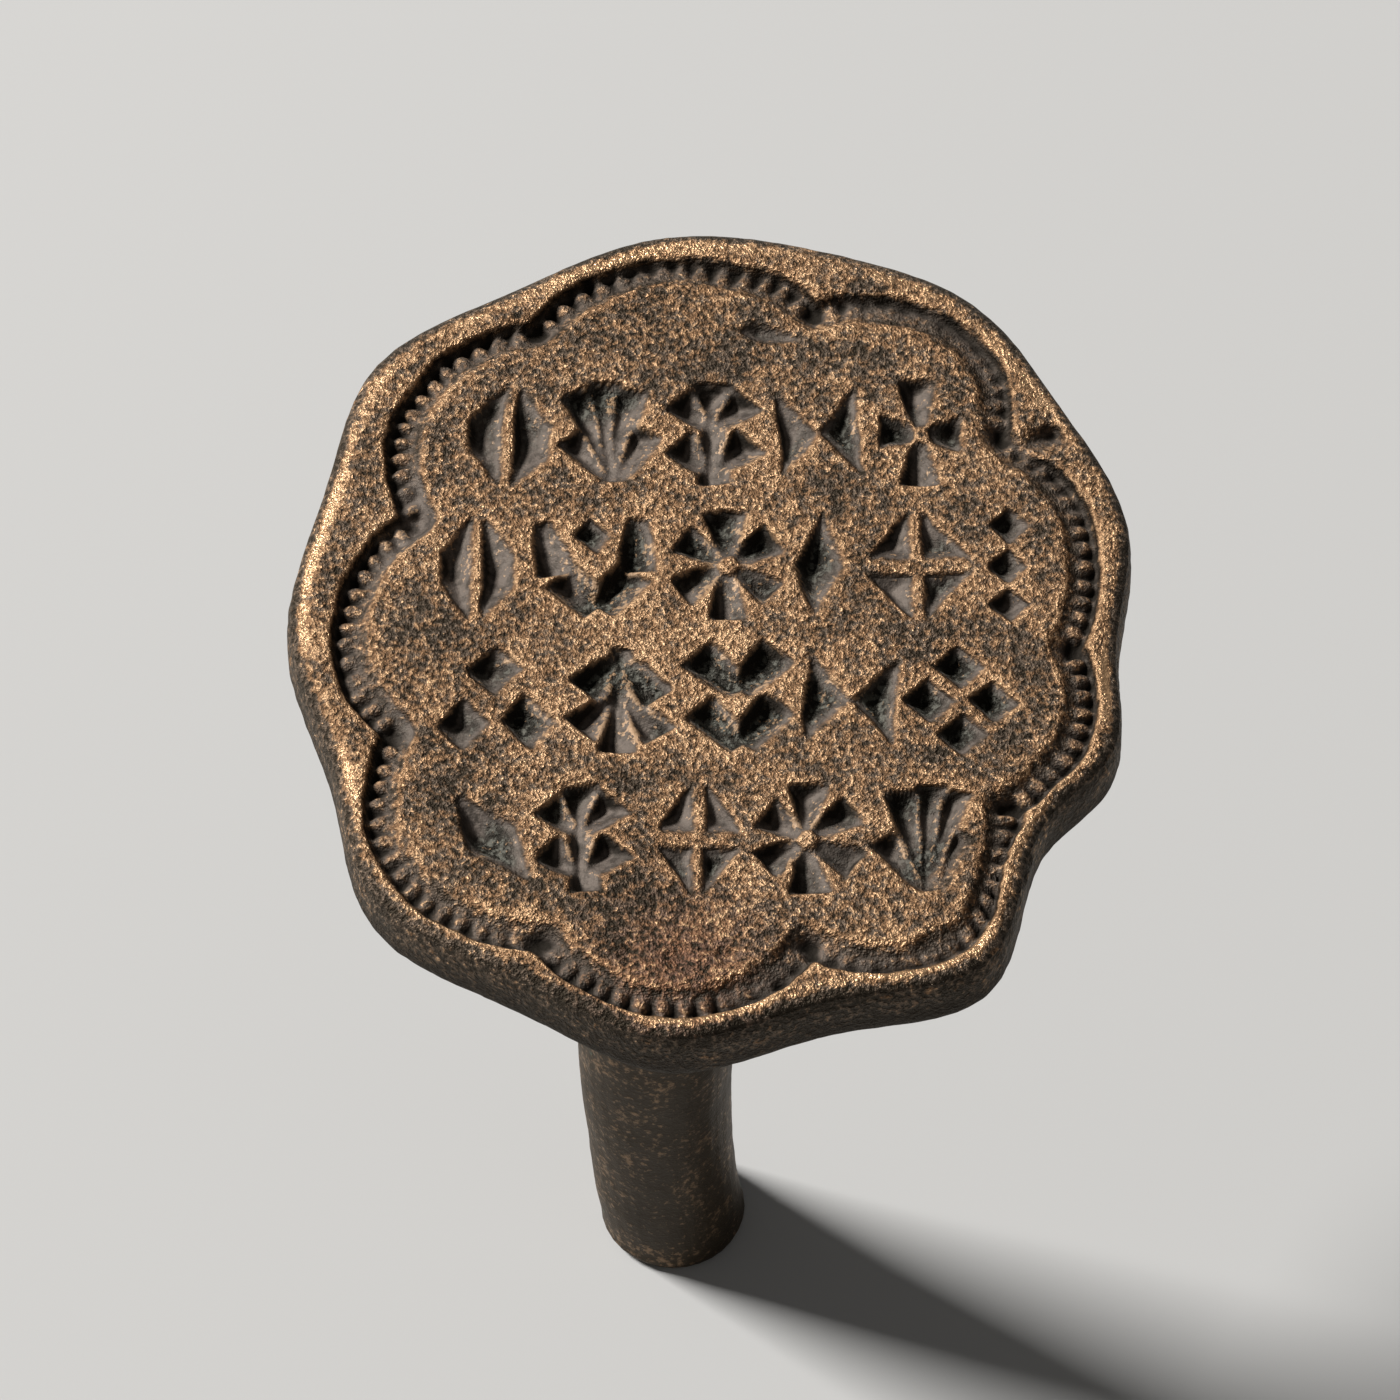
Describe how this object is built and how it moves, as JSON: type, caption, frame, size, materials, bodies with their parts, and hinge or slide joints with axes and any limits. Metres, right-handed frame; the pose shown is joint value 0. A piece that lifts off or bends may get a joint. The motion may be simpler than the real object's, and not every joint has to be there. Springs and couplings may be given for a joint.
{
  "type": "trade seal",
  "caption": "Small cast bronze hand seal: a scalloped face plate with a beaded border channel and rows of cut ornaments, on a round bowed shank.",
  "frame": {"origin": "middle of the shank's flat foot, on the surface that the seal stands on", "axes": "+Z from the foot up through the die face, +Y towards the top of the rows of ornaments, +X to the right of someone who looks down at the face with +Y up"},
  "size_m": [0.0407, 0.0469, 0.054],
  "materials": {
    "die_bronze": "worn and granular, coppery on the high places over a dark brown patina",
    "shank_bronze": "dark grey-brown patina, dull, with faint bronze speckle and a few green spots",
    "braze_metal": "dark and rough"
  },
  "bodies": {
    "root": {"die_plate": "die_bronze", "shank": "shank_bronze", "braze_fillet": "braze_metal"}
  },
  "joints": []
}
